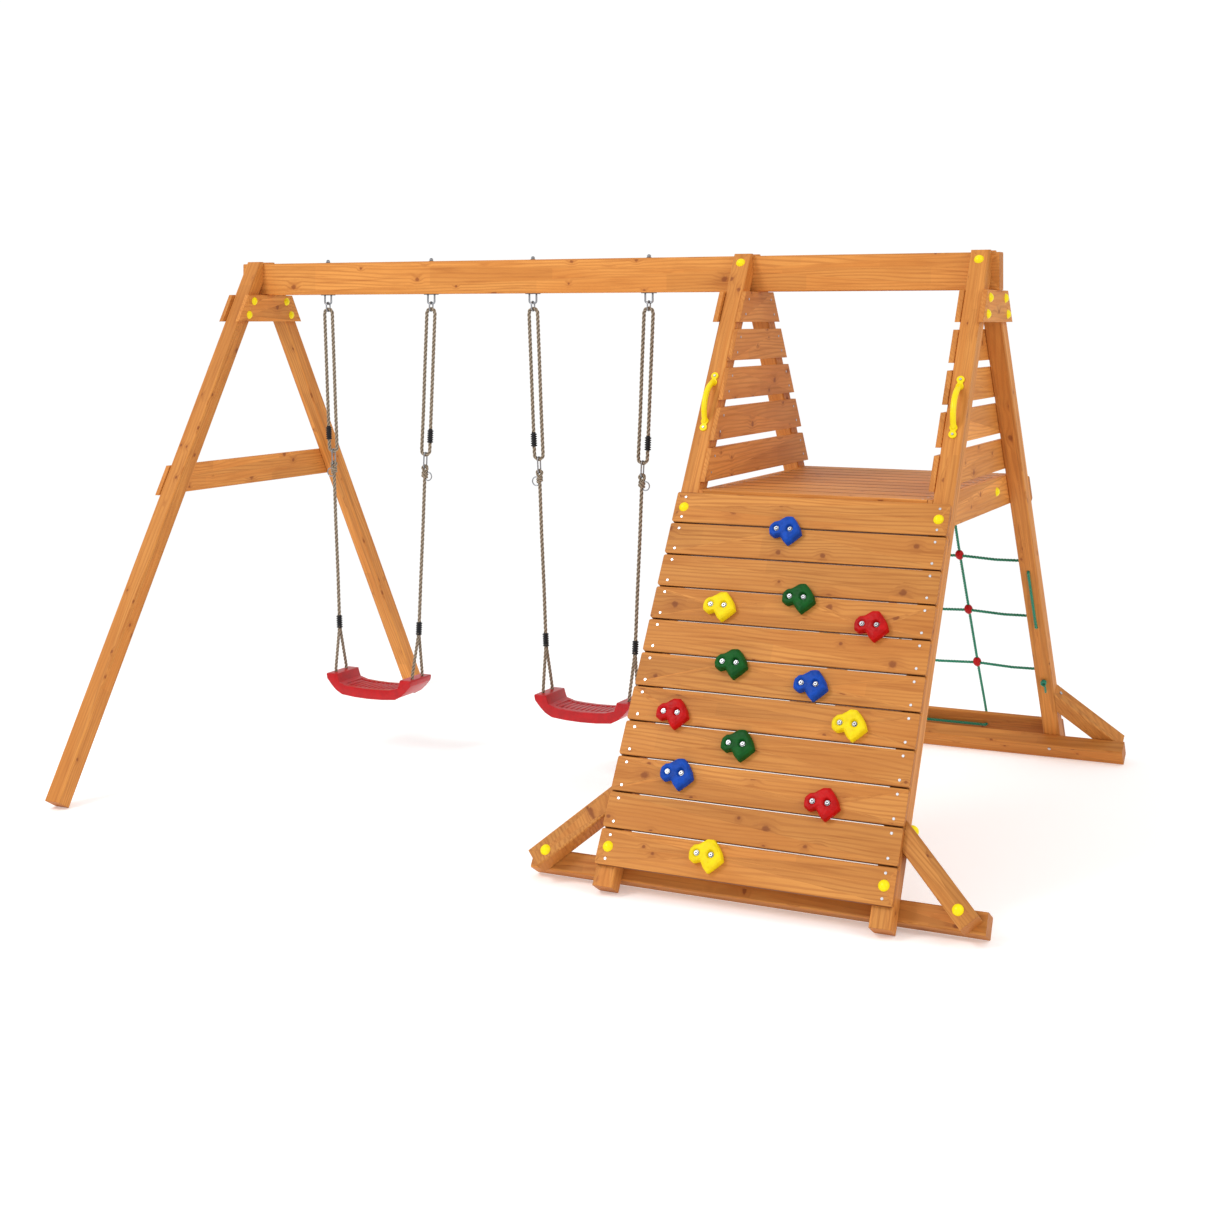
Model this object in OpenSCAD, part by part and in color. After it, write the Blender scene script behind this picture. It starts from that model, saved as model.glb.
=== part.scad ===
// Wooden play frame with a climbing wall, a deck, a climbing net and two swings.
// Millimetres. X runs along the ridge beam, -Y is the climbing-wall side, +Z is up.
// The origin is on the ground at the middle of the frame's footprint.

/* [Frame] */
// Lean of every leg from the upright
lean = 31; // [30.5:0.1:31.5]
// Side of a square post
post = 70; // [69:0.5:71]
// Radius of a post's eased edges
post_ease = 6; // [3:0.5:8]
// Height of the ridge beam's underside
beam_under = 1990; // [1985:1:1995]
// Depth of the ridge beam
beam_h = 140; // [136:1:144]
// Thickness of the ridge beam
beam_w = 60; // [58:1:62]
// Left end of the ridge beam
beam_x0 = -1828; // [-1835:1:-1820]
// Right end of the ridge beam
beam_x1 = 1588; // [1580:1:1600]
// Distance of a leg's outer face from the middle plane, level with the beam's underside
leg_out = 143.4; // [142:0.1:145]
// Height of the legs' level tops
leg_top = 2138; // [2134:1:2145]
// Middle of the single A-frame
frame_a = -1752; // [-1755:1:-1750]
// Middle of the tower's left A-frame
frame_b = 588; // [585:1:590]
// Middle of the tower's right A-frame
frame_c = 1523; // [1520:1:1526]
// Distance from the frame's middle to the end of a ground sill
sill_end = 1828; // [1820:1:1835]

/* [Boards] */
// Width of a plank
plank_w = 118; // [112:1:118]
// Thickness of a plank
plank_t = 18; // [16:0.5:19]
// Radius of a plank's eased edges
plank_ease = 4; // [2:0.5:6]
// Radius of a slope plank's corners
plank_corner = 9; // [5:1:12]
// Distance from one climbing-wall plank to the next
wall_pitch = 123; // [121:1:123]
// Slope distance from the beam's underside to the top of the wall
wall_t0 = 866; // [864:1:868]
// Distance from one fence plank to the next
fence_pitch = 145; // [143:1:145]
// Height of the deck's surface
deck_top = 1265; // [1262:1:1266]
// Width of a deck board
deck_board_w = 113; // [108:1:115]
// Distance from one deck board to the next
deck_pitch = 117; // [116:1:117]

/* [Fasteners] */
// Diameter of a coach screw's shank
screw_d = 8; // [7:0.5:8]
// Diameter of the hole for a coach screw
screw_hole_d = 9; // [9:0.5:10]
// Diameter of a domed cap
cap_d = 36; // [34:1:38]
// Height of a domed cap
cap_h = 12; // [11:0.5:14]
// Distance between a climbing hold's two bolts
hold_bolt_gap = 50; // [48:1:52]
// Height of a hold's bolt seats above the wall
hold_seat = 21; // [18:1:22]

/* [Swings] */
// Middle of the left swing
swing_1_x = -1125; // [-1130:1:-1120]
// Middle of the right swing
swing_2_x = -102; // [-106:1:-98]
// Half the distance between a swing's hooks
hook_half = 265; // [260:1:270]
// Height of the hinge line through the hooks
pivot_z = 1949; // [1948:0.5:1950]
// Diameter of the swing rope
rope_d = 13; // [11:0.5:13]
// Height of a seat's end blocks
seat_top = 343; // [343:1:343]

/* [Net] */
// Diameter of the net rope
net_d = 10; // [8:0.5:10]
// Diameter of the rope holes
net_hole_d = 14; // [14:0.5:15]

/* [Hidden] */
$fn = 48;

half_post = post / 2;
tower_xs = [frame_b, frame_c];
tower_mid = (frame_b + frame_c) / 2;
tower_left = frame_b - half_post;
tower_right = frame_c + half_post;
inside_left = frame_b + half_post + plank_t;
inside_right = frame_c - half_post - plank_t;
// Slope distance at which a leg's inner edge meets the ground
leg_t = (beam_under - post * sin(lean)) / cos(lean);
// A sill lies against the legs' inner faces with its lower edge on the ground
sill_t = (beam_under - 2 * post * sin(lean)) / cos(lean) - half_post;
sill_x0 = 2 * tower_mid - sill_end;
// Net holes, measured down the slope
net_ts = [1286, 1577, 1868];
net_xs = [890, 1221];
rear_plank_ts = [wall_t0, 2154];
collar_screw_ts = [12, 82];
cover_screw_ts = [wall_t0 + plank_w / 2, wall_t0 + 10 * wall_pitch + plank_w / 2 - 1];
cross_z1 = deck_top;
cross_z0 = deck_top - plank_w;
deck_screw_y = 346;
brace_end_x = 1791.5;
brace_end_t = 2223.5;
// Where the brace's centreline meets the leg
brace_top_t = brace_end_t - (brace_end_x - tower_right);
brace_screw_x = 1753;
brace_screw_t = 2190;
brace_len = sqrt(2) * (brace_end_x - tower_right);
// Hangers lean in from the hooks to the seat's holes
seat_hole_x = 195;
seat_hole_y = 40;
hang_drop = pivot_z - seat_top;
hang_tilt = atan((hook_half - seat_hole_x) / hang_drop);
hang_len = hang_drop / cos(hang_tilt);

blues = [[435, 133], [625, 680], [222, 1025]];
greens = [[529, 380], [335, 631], [414, 906]];
yellows = [[250, 430], [778, 801], [380, 1274]];
reds = [[797, 459], [162, 823], [732, 1064]];
all_holds = concat(blues, greens, yellows, reds);

wood = "peru";
board = "sandybrown";

// ---- places on the slopes --------------------------------------------------------------
// In a slope plane X runs along the beam, +Y points in from the legs' outer faces, -Z runs
// down the legs from the beam's underside.

module front_plane() translate([0, -leg_out, beam_under]) rotate([-lean, 0, 0]) children();

module rear_plane() mirror([0, 1, 0]) front_plane() children();

module both_planes() {
    front_plane() children();
    rear_plane() children();
}

module tower_pair() {
    children();
    translate([2 * tower_mid, 0, 0]) mirror([1, 0, 0]) children();
}

// Half the frame's depth at height z, measured to a line `out` proud of the legs
function slope_y(z, out) =
    leg_out + (beam_under + out * sin(lean) - z) * tan(lean) + out * cos(lean);

// Slope distance of the legs' centreline at height z
function centre_t(z) = (beam_under - half_post * sin(lean) - z) / cos(lean);

// ---- fastener places: +Z points out of the wood -----------------------------------------

module collar_places(head_x, way)
    both_planes() for (t = collar_screw_ts)
        translate([head_x, half_post, -t]) rotate([0, 90 * way, 0]) children();

module collar_a_inner_places() collar_places(frame_a + half_post + plank_t, 1) children();
module collar_a_outer_places() collar_places(frame_a - half_post - plank_t, -1) children();
module collar_b_places() collar_places(tower_left - plank_t, -1) children();
module collar_c_places() collar_places(tower_right + plank_t, 1) children();

module tie_places()
    both_planes() translate([frame_a - half_post - plank_t, half_post, -centre_t(1206)])
        rotate([0, -90, 0]) children();

module wall_places()
    front_plane() for (x = tower_xs, t = cover_screw_ts)
        translate([x, -plank_t, -t]) rotate([90, 0, 0]) children();

module rear_places()
    rear_plane() for (x = tower_xs, t = rear_plank_ts)
        translate([x, -plank_t, -(t + plank_w / 2)]) rotate([90, 0, 0]) children();

module sill_places()
    both_planes() for (x = tower_xs)
        translate([x, 2 * post, -2186]) rotate([-90, 0, 0]) children();

module brace_low_places()
    both_planes() tower_pair() translate([brace_screw_x, 0, -brace_screw_t])
        rotate([90, 0, 0]) children();

module brace_top_places()
    tower_pair()
        translate([tower_right + 20, half_post, 20 + half_post * sqrt(2) - brace_top_t - 40])
            rotate([0, 45, 0]) children();

module leg_top_places()
    both_planes() for (x = tower_xs)
        translate([x, 0, 132]) rotate([90, 0, 0]) children();

module rail_places()
    for (y = [-deck_screw_y, deck_screw_y]) {
        translate([frame_b + half_post, y, 1212]) rotate([0, -90, 0]) children();
        translate([frame_c - half_post, y, 1212]) rotate([0, 90, 0]) children();
    }

module wall_screw_places()
    front_plane() for (x = tower_xs, k = [0 : 10], e = [20, plank_w - 20])
        translate([x, -plank_t, -(wall_t0 + k * wall_pitch + e)]) rotate([90, 0, 0]) children();

module rear_screw_places()
    rear_plane() for (x = tower_xs, t = rear_plank_ts, e = [20, plank_w - 20])
        translate([x, -plank_t, -(t + e)]) rotate([90, 0, 0]) children();

module fence_screw_places()
    both_planes() for (k = [0 : 5], drop = [30, plank_w - 30]) {
        z = k < 5 ? beam_under - k * fence_pitch - drop : cross_z1 - drop;
        translate([inside_left, half_post, -centre_t(z)]) rotate([0, 90, 0]) children();
        translate([inside_right, half_post, -centre_t(z)]) rotate([0, -90, 0]) children();
    }

module deck_screw_places()
    for (x = [inside_left + 22, inside_right - 22], k = [0 : 9], e = [-35, 35])
        translate([x, (k - 4.5) * deck_pitch + e, deck_top]) children();

module handle_places()
    both_planes() for (x = tower_xs) translate([x, 0, -485]) children();

// ---- fasteners -------------------------------------------------------------------------

module hole(depth) translate([0, 0, -depth - 2]) cylinder(d = screw_hole_d, h = depth + 3);

module coach_screw(depth) {
    cylinder(d = 20, h = 1.5);
    translate([0, 0, 1.5]) cylinder(r = 7.5, h = 5.5, $fn = 6);
    translate([0, 0, -depth]) cylinder(d = screw_d, h = depth);
}

// A low head with no cap, where the photo shows no cap
module pan_screw(depth) {
    cylinder(d = 13, h = 2);
    translate([0, 0, -depth]) cylinder(d = screw_d, h = depth);
}

module cap() {
    ball_r = (cap_d * cap_d / 4 + cap_h * cap_h) / (2 * cap_h);
    rotate_extrude() difference() {
        intersection() {
            translate([0, cap_h - ball_r]) circle(ball_r);
            square([cap_d, cap_h]);
        }
        square([11, 8.5]);
    }
}

module wood_screw(depth) {
    translate([0, 0, -1.6]) cylinder(d = 9, h = 2.4);
    translate([0, 0, -depth]) cylinder(d = 4.5, h = depth - 1.6);
}

// The seat that sinks a deck screw's head just below the board
module screw_seat() translate([0, 0, -2.5]) cylinder(d = 10, h = 4);

// Every coach screw's place, with the depth it reaches
module coach_screw_sets() {
    collar_a_inner_places() coach_screw(50);
    collar_a_outer_places() coach_screw(50);
    collar_b_places() coach_screw(50);
    collar_c_places() coach_screw(50);
    tie_places() coach_screw(50);
    wall_places() coach_screw(70);
    rear_places() coach_screw(70);
    sill_places() pan_screw(110);
    brace_low_places() coach_screw(120);
    front_plane() brace_top_places() coach_screw(90);
    rear_plane() brace_top_places() pan_screw(90);
    leg_top_places() coach_screw(80);
    rail_places() coach_screw(56);
}

// ---- timber ----------------------------------------------------------------------------

// A rectangle with eased corners, centred on the origin
module eased_rect(w, h, r) {
    square([w - 2 * r, h], center = true);
    square([w, h - 2 * r], center = true);
    for (sx = [-1, 1], sy = [-1, 1]) translate([sx * (w / 2 - r), sy * (h / 2 - r)]) circle(r);
}

// A bar along X with its section centred on the X axis
module bar_x(x0, x1, depth_y, height_z, r)
    translate([x0, 0, 0]) rotate([90, 0, 90]) linear_extrude(x1 - x0)
        eased_rect(depth_y, height_z, r);

// A plank that lies across a slope's outer face with its top edge at slope distance t
module slope_plank(t)
    translate([0, -plank_t / 2, -(t + plank_w / 2)]) intersection() {
        bar_x(tower_left, tower_right, plank_t, plank_w, plank_ease);
        translate([tower_mid, 0, 0]) rotate([90, 0, 0]) linear_extrude(2 * plank_t, center = true)
            eased_rect(tower_right - tower_left, plank_w, plank_corner);
    }

// A level plank across an A-frame, its ends cut to the slopes
module cross_plank(x, z0, z1, out)
    translate([x, 0, 0]) rotate([90, 0, 90]) linear_extrude(plank_t)
        polygon([[-slope_y(z0, out), z0], [slope_y(z0, out), z0],
                 [slope_y(z1, out), z1], [-slope_y(z1, out), z1]]);

module leg_blank(x)
    difference() {
        front_plane() translate([x, half_post, -leg_t]) linear_extrude(leg_t + 260)
            eased_rect(post, post, post_ease);
        translate([x - post, -500, leg_top]) cube([2 * post, 900, 300]);
        translate([x - post, -beam_w / 2, 1700]) cube([2 * post, 400, 700]);
    }

module leg_a()
    difference() {
        leg_blank(frame_a);
        collar_a_inner_places() hole(50);
        collar_a_outer_places() hole(50);
        tie_places() hole(50);
    }

module tower_leg_holes() {
    collar_b_places() hole(50);
    collar_c_places() hole(50);
    wall_places() hole(70);
    rear_places() hole(70);
    sill_places() hole(110);
    both_planes() brace_top_places() hole(90);
    leg_top_places() hole(80);
    rear_plane() for (x = tower_xs, t = net_ts)
        translate([x, -5, -t]) rotate([-90, 0, 0]) cylinder(d = net_hole_d, h = post + 10);
}

module tower_leg(x, rear)
    difference() {
        if (rear) mirror([0, 1, 0]) leg_blank(x);
        else leg_blank(x);
        tower_leg_holes();
    }

module beam()
    color(wood) difference() {
        translate([0, 0, beam_under + beam_h / 2])
            bar_x(beam_x0, beam_x1, beam_w, beam_h, post_ease);
        leg_top_places() hole(80);
        hook_places() cylinder(d = hook_rod_d + 1, h = beam_h + 60);
    }

module leg_a_front() color(wood) leg_a();
module leg_a_rear() color(wood) mirror([0, 1, 0]) leg_a();
module leg_b_front() color(wood) tower_leg(frame_b, false);
module leg_b_rear() color(wood) tower_leg(frame_b, true);
module leg_c_front() color(wood) tower_leg(frame_c, false);
module leg_c_rear() color(wood) tower_leg(frame_c, true);

module collar(x) cross_plank(x, beam_under - plank_w, beam_under, 15);

module collar_a_inner()
    color(board) difference() {
        collar(frame_a + half_post);
        collar_a_inner_places() hole(50);
    }

module collar_a_outer()
    color(board) difference() {
        collar(frame_a - half_post - plank_t);
        collar_a_outer_places() hole(50);
    }

module tie_a()
    color(board) difference() {
        cross_plank(frame_a - half_post - plank_t, cross_z0, cross_z1, 5);
        tie_places() hole(50);
    }

module collar_b()
    color(board) difference() {
        collar(tower_left - plank_t);
        collar_b_places() hole(50);
    }

module collar_c()
    color(board) difference() {
        collar(tower_right);
        collar_c_places() hole(50);
    }

module rail(x)
    color(board) difference() {
        cross_plank(x, cross_z0, cross_z1, -1);
        rail_places() hole(56);
    }

module rail_b() rail(frame_b + half_post);
module rail_c() rail(inside_right);

// Bearer under the deck boards' ends, fixed to a rail's inner face
module bearer(x)
    color(wood) difference() {
        translate([x, 0, deck_top - plank_t - half_post]) rotate([90, 0, 0])
            linear_extrude(1150, center = true) eased_rect(45, post, 3);
        rail_places() hole(56);
    }

module bearer_b() bearer(inside_left + 22.5);
module bearer_c() bearer(inside_right - 22.5);

module sill()
    difference() {
        front_plane() translate([0, post + half_post, -sill_t])
            bar_x(sill_x0, sill_end, post, post, post_ease);
        sill_places() hole(110);
        brace_low_places() hole(120);
    }

module sill_front() color(wood) sill();
module sill_rear() color(wood) mirror([0, 1, 0]) sill();

// The brace at the right leg's foot, mitred against the leg
module brace()
    difference() {
        front_plane() difference() {
            translate([brace_end_x, half_post, -brace_end_t]) rotate([0, -45, 0])
                linear_extrude(brace_len + post) eased_rect(post, post, post_ease);
            translate([tower_right - 300, -post, -brace_end_t]) cube([300, 3 * post, 600]);
        }
        brace_low_places() hole(120);
        both_planes() brace_top_places() hole(90);
    }

module mirrored_brace() translate([2 * tower_mid, 0, 0]) mirror([1, 0, 0]) brace();

module brace_front_right() color(wood) brace();
module brace_front_left() color(wood) mirrored_brace();
module brace_rear_right() color(wood) mirror([0, 1, 0]) brace();
module brace_rear_left() color(wood) mirror([0, 1, 0]) mirrored_brace();

module rope_up_hole(t)
    rear_plane() for (x = net_xs)
        translate([x, -plank_t - 5, -t]) rotate([-90, 0, 0]) cylinder(d = net_hole_d, h = 40);

module rear_plank(t)
    color(board) difference() {
        rear_plane() slope_plank(t);
        rear_places() hole(70);
        rope_up_hole(t + plank_w / 2);
    }

module rear_plank_top() rear_plank(rear_plank_ts[0]);
module rear_plank_bottom() rear_plank(rear_plank_ts[1]);

// Climbing-wall plank k, counted from the top
module wall_plank(k)
    color(board) difference() {
        front_plane() slope_plank(wall_t0 + (k - 1) * wall_pitch);
        if (k == 1 || k == 11) wall_places() hole(70);
        hold_bolt_places([for (h = all_holds) if (floor(h.y / wall_pitch) == k - 1) h])
            translate([0, 0, -plank_t - 1]) cylinder(d = screw_hole_d, h = plank_t + 2);
    }

module fence(x)
    color(board) for (k = [0 : 4]) {
        top = beam_under - k * fence_pitch;
        cross_plank(x, top - plank_w, top, 5);
    }

module fence_b() fence(frame_b + half_post);
module fence_c() fence(inside_right);

module deck_boards()
    color(board) difference() {
        for (k = [0 : 9]) translate([0, (k - 4.5) * deck_pitch, deck_top - plank_t / 2])
            bar_x(inside_left + 1, inside_right - 1, deck_board_w, plank_t, plank_ease);
        deck_screw_places() screw_seat();
    }

// ---- climbing fittings -----------------------------------------------------------------

// A hold's place is given from the wall's top left corner: along the beam and down the slope
module hold_places(spots)
    front_plane() for (s = spots)
        translate([tower_left + s.x, -plank_t, -(wall_t0 + s.y)]) rotate([90, 0, 0]) children();

module hold_bolt_places(spots)
    hold_places(spots) for (sx = [-1, 1]) translate([sx * hold_bolt_gap / 2, 0, 0]) children();

// A low rounded lobe standing on the wall
module lobe(x, y, r, h)
    translate([x, y, 0]) hull() {
        cylinder(r = r, h = h * 0.35, $fn = 32);
        cylinder(r = r * 0.85, h = h * 0.75, $fn = 32);
        cylinder(r = r * 0.5, h = h, $fn = 32);
    }

module hold()
    difference() {
        union() {
            lobe(19, -3, 46, 36);
            lobe(-27, -2, 26, 27);
        }
        for (sx = [-1, 1]) translate([sx * hold_bolt_gap / 2, 0, 0]) {
            translate([0, 0, hold_seat]) cylinder(d = 20, h = 40);
            translate([0, 0, -1]) cylinder(d = screw_hole_d, h = 30);
        }
    }

module holds_blue() color("royalblue") hold_places(blues) hold();
module holds_green() color("forestgreen") hold_places(greens) hold();
module holds_yellow() color("yellow") hold_places(yellows) hold();
module holds_red() color("red") hold_places(reds) hold();

module hold_bolts()
    color("silver") hold_bolt_places(all_holds) {
        translate([0, 0, hold_seat]) cylinder(d = 17, h = 1.6);
        translate([0, 0, hold_seat + 1.6]) difference() {
            cylinder(d1 = 14, d2 = 11, h = 3);
            translate([0, 0, 0.5]) cylinder(r = 3.4, h = 3, $fn = 6);
        }
        translate([0, 0, -28]) cylinder(d = 8, h = hold_seat + 29);
    }

module hold_nuts()
    color("silver") hold_bolt_places(all_holds) translate([0, 0, -plank_t]) difference() {
        union() {
            translate([0, 0, -1.5]) cylinder(d = 20, h = 1.5);
            translate([0, 0, -8]) cylinder(r = 7.5, h = 6.5, $fn = 6);
        }
        translate([0, 0, -9]) cylinder(d = 8.2, h = 10);
    }

handle_screw = 109;
handle_foot = 82;
grip_rise = 44;
grip_d = 21;
grip_r = (handle_foot * handle_foot + (grip_rise - 3) * (grip_rise - 3)) / (2 * (grip_rise - 3));
grip_half_angle = asin(handle_foot / grip_r);

module handle() {
    difference() {
        translate([0, grip_r - grip_rise, 0]) rotate([90, 0, -90]) rotate([0, 0, -grip_half_angle])
            rotate_extrude(angle = 2 * grip_half_angle) translate([grip_r, 0]) circle(d = grip_d);
        translate([-20, 0, -150]) cube([40, 60, 300]);
    }
    for (s = [-1, 1]) rotate([90, 0, 0]) linear_extrude(6) difference() {
        union() {
            translate([0, s * handle_screw]) circle(d = 28);
            translate([0, s * handle_foot]) circle(d = 28);
            translate([0, s * (handle_screw + handle_foot) / 2]) square([18, 24], center = true);
        }
        translate([0, s * handle_screw]) circle(d = 5.5);
    }
}

module handles() color("yellow") handle_places() handle();

module handle_screw_places()
    handle_places() for (s = [-1, 1])
        translate([0, -6, s * handle_screw]) rotate([90, 0, 0]) children();

module wood_screws()
    color("silver") {
        wall_screw_places() wood_screw(50);
        rear_screw_places() wood_screw(50);
        fence_screw_places() wood_screw(45);
        deck_screw_places() translate([0, 0, -0.9]) wood_screw(50);
        handle_screw_places() translate([0, 0, 1.6]) wood_screw(45);
    }

module coach_screws() color("silver") coach_screw_sets();

module screw_caps()
    color("yellow") {
        collar_a_inner_places() cap();
        collar_a_outer_places() cap();
        collar_b_places() cap();
        collar_c_places() cap();
        tie_places() cap();
        wall_places() cap();
        rear_places() cap();
        brace_low_places() cap();
        front_plane() brace_top_places() cap();
        leg_top_places() cap();
        rail_places() cap();
    }

// ---- net -------------------------------------------------------------------------------
// Rope points are [along the beam, in from the legs' outer faces, down the slope]

out_y = -6.5;
in_y = post + 6.5;

// One run of the rope across, from one leg's outside to the other's, with slack between balls
function net_run(t) = [[640, out_y, t + 5], [740, out_y, t + 7], [872, out_y, t - 3],
    [908, out_y, t - 3], [1055, out_y, t + 5], [1203, out_y, t - 3], [1239, out_y, t - 3],
    [1372, out_y, t + 7], [1470, out_y, t + 5]];

function backwards(list) = [for (i = [len(list) - 1 : -1 : 0]) list[i]];

across_points = concat(
    [[frame_b, 84, net_ts[0]], [frame_b, out_y, net_ts[0]]], net_run(net_ts[0]),
    [[frame_c, out_y, net_ts[0]], [frame_c, in_y, net_ts[0]],
     [frame_c, in_y, net_ts[1]], [frame_c, out_y, net_ts[1]]], backwards(net_run(net_ts[1])),
    [[frame_b, out_y, net_ts[1]], [frame_b, in_y, net_ts[1]],
     [frame_b, in_y, net_ts[2]], [frame_b, out_y, net_ts[2]]], net_run(net_ts[2]),
    [[frame_c, out_y, net_ts[2]], [frame_c, 84, net_ts[2]]]);

up_y = -23.5;
cross_y = -17.5;
top_hole_t = wall_t0 + plank_w / 2;
low_hole_t = rear_plank_ts[1] + plank_w / 2;

// The rope up: from behind the top plank, down outside the net, behind the bottom plank and back
function up_run(x) = [[x, 14, top_hole_t], [x, up_y, top_hole_t], [x, up_y, 1060],
    [x, cross_y, 1240], [x, cross_y, 1900], [x, up_y, 2090], [x, up_y, low_hole_t],
    [x, 6.5, low_hole_t]];

up_points = concat(up_run(net_xs[0]), backwards(up_run(net_xs[1])));

function unit(v) = v / norm(v);

// Rounds each corner of a route over the distance r
function rounded(p, r) = concat([p[0]], [for (i = [1 : len(p) - 2])
    let (a = p[i] + r * unit(p[i - 1] - p[i]), b = p[i] + r * unit(p[i + 1] - p[i]))
    for (s = norm(unit(p[i] - p[i - 1]) - unit(p[i + 1] - p[i])) > 0.5 ? [0, 0.5, 1] : [0.5])
        (1 - s) * (1 - s) * a + 2 * s * (1 - s) * p[i] + s * s * b], [p[len(p) - 1]]);

// A ring of the tube around point i of a route
function ring(p, i, r, n) =
    let (t = unit(p[min(i + 1, len(p) - 1)] - p[max(i - 1, 0)]),
         u = unit(cross(t, [1, 1.1, 0.9])), v = cross(t, u))
    [for (k = [0 : n - 1]) p[i] + r * (cos(360 * k / n) * u + sin(360 * k / n) * v)];

module tube(p, d, n = 8) {
    last = (len(p) - 1) * n;
    polyhedron(
        points = [for (i = [0 : len(p) - 1]) each ring(p, i, d / 2, n)],
        faces = concat([[for (k = [0 : n - 1]) k]], [[for (k = [n - 1 : -1 : 0]) last + k]],
            [for (i = [0 : len(p) - 2], k = [0 : n - 1])
                let (a = i * n + k, b = i * n + (k + 1) % n) each [[a, a + n, b], [b, a + n, b + n]]]));
}

// Turns [x, y, t] into the slope plane's own X, Y, Z
function on_slope(p) = [for (q = p) [q.x, q.y, -q.z]];

module net_rope_across()
    color("seagreen") rear_plane() {
        tube(rounded(on_slope(across_points), 9), net_d);
        translate([frame_b, post + 15.5, -net_ts[0]]) sphere(d = 29);
        translate([frame_c, post + 15.5, -net_ts[2]]) sphere(d = 29);
    }

module net_rope_up()
    color("seagreen") rear_plane() {
        tube(rounded(on_slope(up_points), 9), net_d);
        for (x = net_xs) translate([x, 15.5, -top_hole_t]) sphere(d = 29);
    }

module net_balls()
    color("firebrick") rear_plane() for (x = net_xs, t = net_ts)
        translate([x, -12, 3 - t]) difference() {
            rotate_extrude() intersection() {
                translate([-8, 0]) circle(26);
                translate([0, -21]) square([18, 42]);
            }
            translate([0, -5.5, -30]) cylinder(d = 12, h = 60);
            translate([-30, 5.5, 0]) rotate([0, 90, 0]) cylinder(d = 12, h = 60);
        }

// ---- swings ----------------------------------------------------------------------------

hook_leg_x = 16.5;
hook_bend = 9;
hook_rod_d = 10;

module hook_places()
    for (x = [swing_1_x, swing_2_x], s = [-1, 1])
        translate([x + s * hook_half, 0, pivot_z]) children();

// Half a ring standing in the XZ plane, below its middle
module half_ring(r, d) rotate([-90, 0, 0]) rotate_extrude(angle = 180) translate([r, 0]) circle(d = d);

// A staple on a plate; its straight foot is the round bar that the top link turns on. A rod
// from the plate runs up through the beam to a nut.
module hook() {
    foot_half = hook_leg_x - hook_bend;
    plate_z = beam_under - pivot_z - 3;
    beam_top_z = beam_under + beam_h - pivot_z;
    rotate([0, 90, 0]) cylinder(d = 8, h = 2 * foot_half, center = true);
    for (s = [0, 1]) mirror([s, 0, 0]) {
        translate([foot_half, 0, hook_bend]) rotate([-90, 0, 0]) rotate_extrude(angle = 90)
            translate([hook_bend, 0]) circle(d = 8);
        translate([hook_leg_x, 0, hook_bend]) cylinder(d = 8, h = plate_z + 1 - hook_bend);
    }
    translate([0, 0, plate_z]) linear_extrude(3) eased_rect(58, 34, 5);
    translate([0, 0, plate_z + 1]) cylinder(d = hook_rod_d, h = beam_top_z + 13 - plate_z);
    translate([0, 0, beam_top_z]) difference() {
        union() {
            cylinder(d = 22, h = 2);
            translate([0, 0, 2]) cylinder(r = 9, h = 9, $fn = 6);
        }
        translate([0, 0, -1]) cylinder(d = hook_rod_d + 0.2, h = 14);
    }
}

module swing_hooks() color("silver") hook_places() hook();

// A straight-sided ring in the XZ plane, given by its outer size
module long_ring(w, h, d) {
    r = (w - d) / 2;
    straight = h - d - 2 * r;
    for (s = [0, 1]) mirror([0, 0, s]) translate([0, 0, -straight / 2]) half_ring(r, d);
    for (s = [-1, 1]) translate([s * r, 0, -straight / 2]) cylinder(d = d, h = straight);
}

// The two hangers of a swing: -Z runs down the rope from the hinge line, +X points outward
module hangers(x)
    for (s = [0, 1]) translate([x, 0, pivot_z]) mirror([s, 0, 0])
        translate([hook_half, 0, 0]) rotate([0, hang_tilt, 0]) children();

loop_top = 22;
loop_bottom = 649;
loop_strand = 20;
long_link_mid = 672;
eye_s = 706;
knot_s = 734;
sleeve_s0 = 1368;
sleeve_s1 = 1424;

module hanger_links() {
    translate([0, 0, -12.5]) rotate([0, 0, 90]) long_ring(34, 46, 6);
    translate([0, 0, -long_link_mid]) rotate([0, 0, 90]) long_ring(30, 72, 6);
    translate([16, 0, -knot_s - 6]) rotate([90, 0, 0]) rotate_extrude() translate([18, 0]) circle(2.5);
}

// A round bar from one point to another
module rod(p, q, d) {
    v = q - p;
    translate(p) rotate([0, acos(v.z / norm(v)), atan2(v.y, v.x)]) cylinder(d = d, h = norm(v));
}

module hanger_rope() {
    joint_d = rope_d + 1.4;
    fork = [0, 0, -sleeve_s1 - 9];
    translate([0, 0, -(loop_top + loop_bottom) / 2])
        long_ring(2 * loop_strand + rope_d, loop_bottom - loop_top + rope_d, rope_d);
    translate([0, 0, -eye_s]) rotate([90, 0, 0]) rotate_extrude() translate([11, 0]) circle(d = rope_d);
    translate([0, 0, -knot_s]) sphere(d = 30);
    rod([0, 0, -knot_s], fork, rope_d);
    translate(fork) sphere(d = joint_d);
    for (s = [-1, 1]) {
        bend = [0, s * seat_hole_y, 9 - hang_len];
        foot = bend - [0, 0, 28];
        rod(fork, bend, rope_d);
        translate(bend) sphere(d = joint_d);
        rod(bend, foot, rope_d);
        translate(foot) sphere(d = 20);
    }
}

module hanger_sleeves() {
    translate([loop_strand, 0, -596]) sleeve(60);
    translate([0, 0, -sleeve_s1]) sleeve(sleeve_s1 - sleeve_s0);
}

module sleeve(h)
    difference() {
        cylinder(d = 25, h = h);
        translate([0, 0, -1]) cylinder(d = rope_d + 0.4, h = h + 2);
    }

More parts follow.
